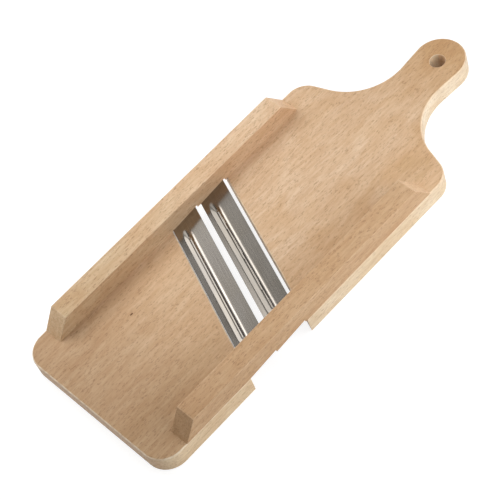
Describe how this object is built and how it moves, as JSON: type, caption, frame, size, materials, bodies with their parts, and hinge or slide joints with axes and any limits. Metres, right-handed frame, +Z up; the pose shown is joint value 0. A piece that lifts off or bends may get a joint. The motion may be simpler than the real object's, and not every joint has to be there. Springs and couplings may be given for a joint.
{
  "type": "mandoline slicer",
  "caption": "Flat wooden kitchen slicer with a hanging handle, side rails that guide the food, and fixed steel blades set at a slant over an open throat.",
  "frame": {"origin": "middle of the underside's bounding rectangle, on the surface that the slicer lies on", "axes": "+Z up from the underside to the rails' tops, +Y along the length towards the handle, +X across to the rail on the right"},
  "size_m": [0.13, 0.338, 0.0277],
  "materials": {
    "board_wood": "planed and sanded beech, no varnish",
    "rail_wood": "planed beech, sharp arrises just eased",
    "blade_steel": "rolled steel strip with a pressed bead and a ground edge",
    "nail_steel": "plain wire nails"
  },
  "bodies": {
    "root": {"handle_board": "board_wood", "landing_board": "board_wood", "left_rail": "rail_wood", "right_rail": "rail_wood", "near_blade": "blade_steel", "far_blade": "blade_steel", "rail_nail_1": "nail_steel", "rail_nail_2": "nail_steel", "rail_nail_3": "nail_steel", "rail_nail_4": "nail_steel", "rail_nail_5": "nail_steel", "rail_nail_6": "nail_steel", "rail_nail_7": "nail_steel", "rail_nail_8": "nail_steel", "rail_nail_9": "nail_steel", "rail_nail_10": "nail_steel", "blade_nail_1": "nail_steel", "blade_nail_2": "nail_steel", "blade_nail_3": "nail_steel", "blade_nail_4": "nail_steel", "blade_nail_5": "nail_steel", "blade_nail_6": "nail_steel", "blade_nail_7": "nail_steel", "blade_nail_8": "nail_steel"}
  },
  "joints": []
}
